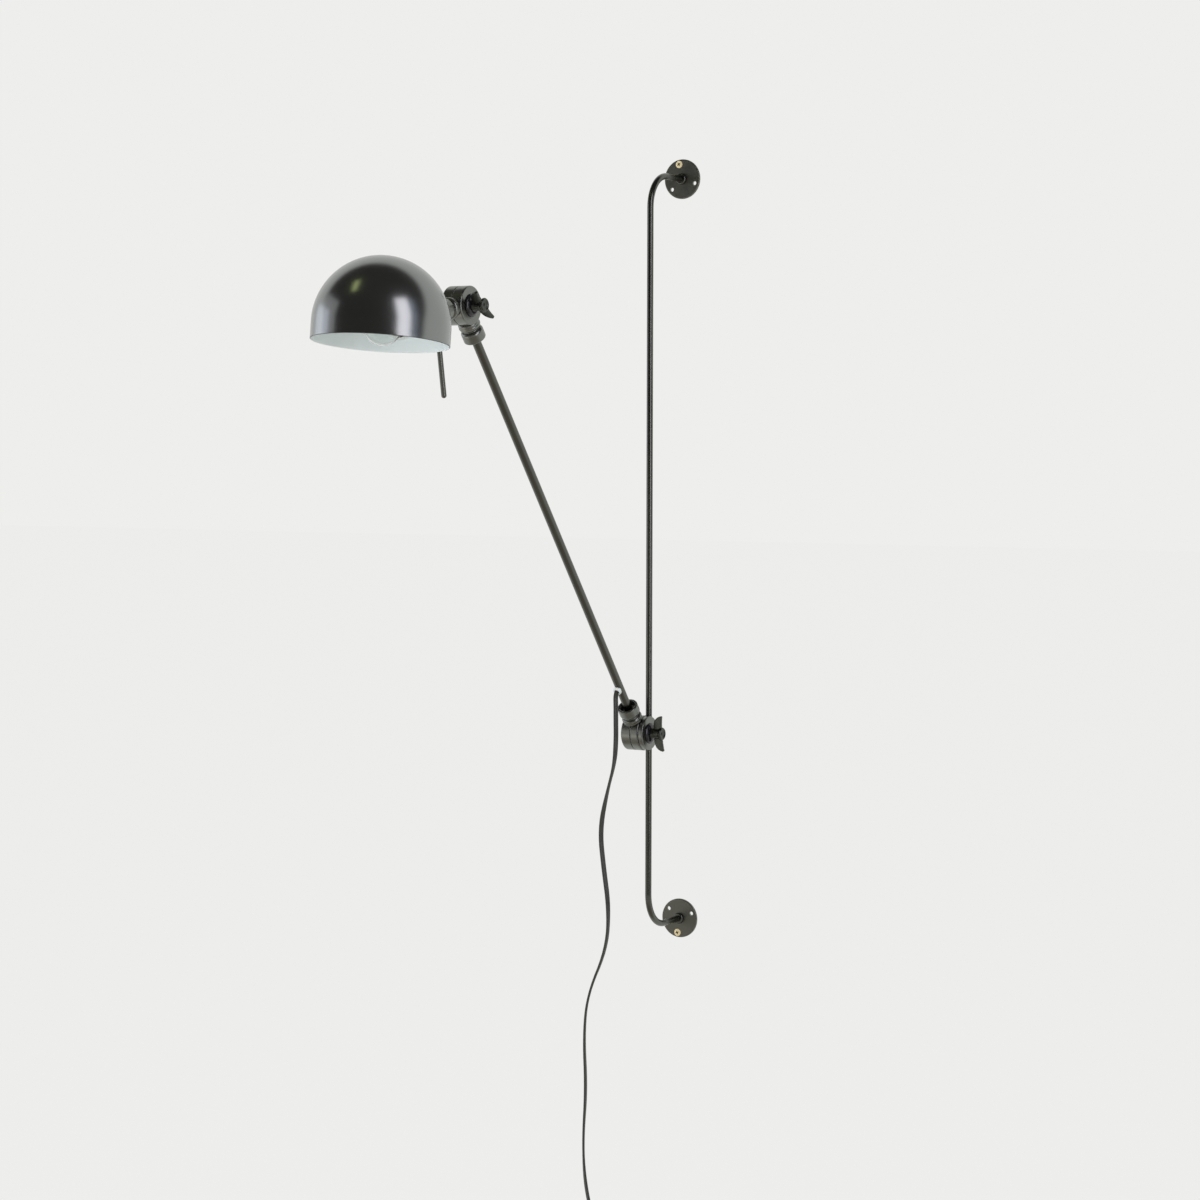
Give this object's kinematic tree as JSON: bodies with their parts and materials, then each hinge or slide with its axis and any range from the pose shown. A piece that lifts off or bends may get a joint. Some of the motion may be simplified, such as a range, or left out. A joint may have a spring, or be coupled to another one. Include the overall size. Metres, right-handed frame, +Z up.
{
  "type": "articulating wall lamp",
  "caption": "Wall lamp: a clamp slides and turns on a bent wall rod and holds a tilting tube arm with a domed shade, locked by wing nuts, with a plug-in cord.",
  "frame": {"origin": "centre of the lower flange's back face, on the wall", "axes": "+X right along the wall, +Y into the wall, +Z up the rod; the arm and shade stand out towards -Y"},
  "size_m": [0.1846, 0.7425, 1.5256],
  "materials": {
    "black_enamel": "semi-gloss black stove enamel on steel",
    "enamelled_casting": "semi-gloss black enamel on a zinc casting",
    "blackened_steel": "blackened steel, satin",
    "brass": "drawn brass",
    "fibre": "vulcanised fibre",
    "clear_nylon": "natural nylon",
    "cord_sheath": "dark translucent flex sheath",
    "black_handle": "black enamel",
    "shade_enamel": "gloss black stove enamel, white inside",
    "bakelite": "moulded phenolic",
    "porcelain": "glazed porcelain",
    "bulb_metal": "spun aluminium",
    "bulb_glass": "clear glass",
    "tie_plastic": "soft vinyl",
    "plug_plastic": "moulded vinyl",
    "pin_metal": "nickel-plated brass"
  },
  "bodies": {
    "wall_rail": {"wall_rod": "black_enamel", "upper_flange": "black_enamel", "lower_flange": "black_enamel", "root_collars": "black_enamel"},
    "clamp_slider": {"clamp_liner": "brass"},
    "clamp": {"clamp_casting": "enamelled_casting", "clamp_plate": "enamelled_casting", "lower_friction_disc": "fibre", "lower_pivot_bolt": "enamelled_casting", "lower_cup_washer": "blackened_steel", "cord_drop": "cord_sheath", "cord_coil": "cord_sheath", "cord_tail": "cord_sheath", "coil_tie": "tie_plastic", "plug_body": "plug_plastic", "plug_pins": "pin_metal"},
    "lower_nut": {"lower_wing_nut": "enamelled_casting"},
    "arm": {"lower_knuckle": "enamelled_casting", "arm_tube": "black_enamel", "upper_knuckle": "enamelled_casting", "arm_set_screws": "blackened_steel", "cord_bushing": "clear_nylon", "arm_lead": "cord_sheath"},
    "shade": {"shade_knuckle": "enamelled_casting", "upper_friction_disc": "fibre", "upper_pivot_bolt": "enamelled_casting", "upper_cup_washer": "blackened_steel", "stem_tube": "black_enamel", "stem_set_screw": "blackened_steel", "stem_collars": "enamelled_casting", "handle_block": "enamelled_casting", "handle_rod": "black_handle", "shade_shell": "shade_enamel", "lampholder_cap": "bakelite", "lampholder_body": "bakelite", "lampholder_insert": "porcelain", "screw_shell": "brass", "centre_contact": "brass", "bulb_cap": "bulb_metal", "bulb_glass": "bulb_glass", "stem_lead": "cord_sheath"},
    "upper_nut": {"upper_wing_nut": "enamelled_casting"}
  },
  "joints": [
    {"name": "clamp_height", "type": "slide", "parent": "wall_rail", "child": "clamp_slider", "axis": [0, 0, 1], "range_m": [-0.15, 0.6]},
    {"name": "clamp_swivel", "type": "hinge", "parent": "clamp_slider", "child": "clamp", "pos_m": [0, -0.086, 0.248], "axis": [0, 0, 1], "range_deg": [-75, 75]},
    {"name": "arm_tilt", "type": "hinge", "parent": "clamp", "child": "arm", "pos_m": [-0.0106, -0.0944, 0.248], "axis": [1, 0, 0], "range_deg": [-20, 75], "deforming": ["cord_drop"]},
    {"name": "shade_tilt", "type": "hinge", "parent": "arm", "child": "shade", "pos_m": [-0.0106, -0.50678, 0.76458], "axis": [1, 0, 0], "range_deg": [-60, 40]},
    {"name": "lower_nut_turn", "type": "hinge", "parent": "clamp", "child": "lower_nut", "pos_m": [-0.0106, -0.0944, 0.248], "axis": [1, 0, 0], "continuous": true},
    {"name": "upper_nut_turn", "type": "hinge", "parent": "shade", "child": "upper_nut", "pos_m": [-0.0106, -0.50678, 0.76458], "axis": [1, 0, 0], "continuous": true}
  ]
}
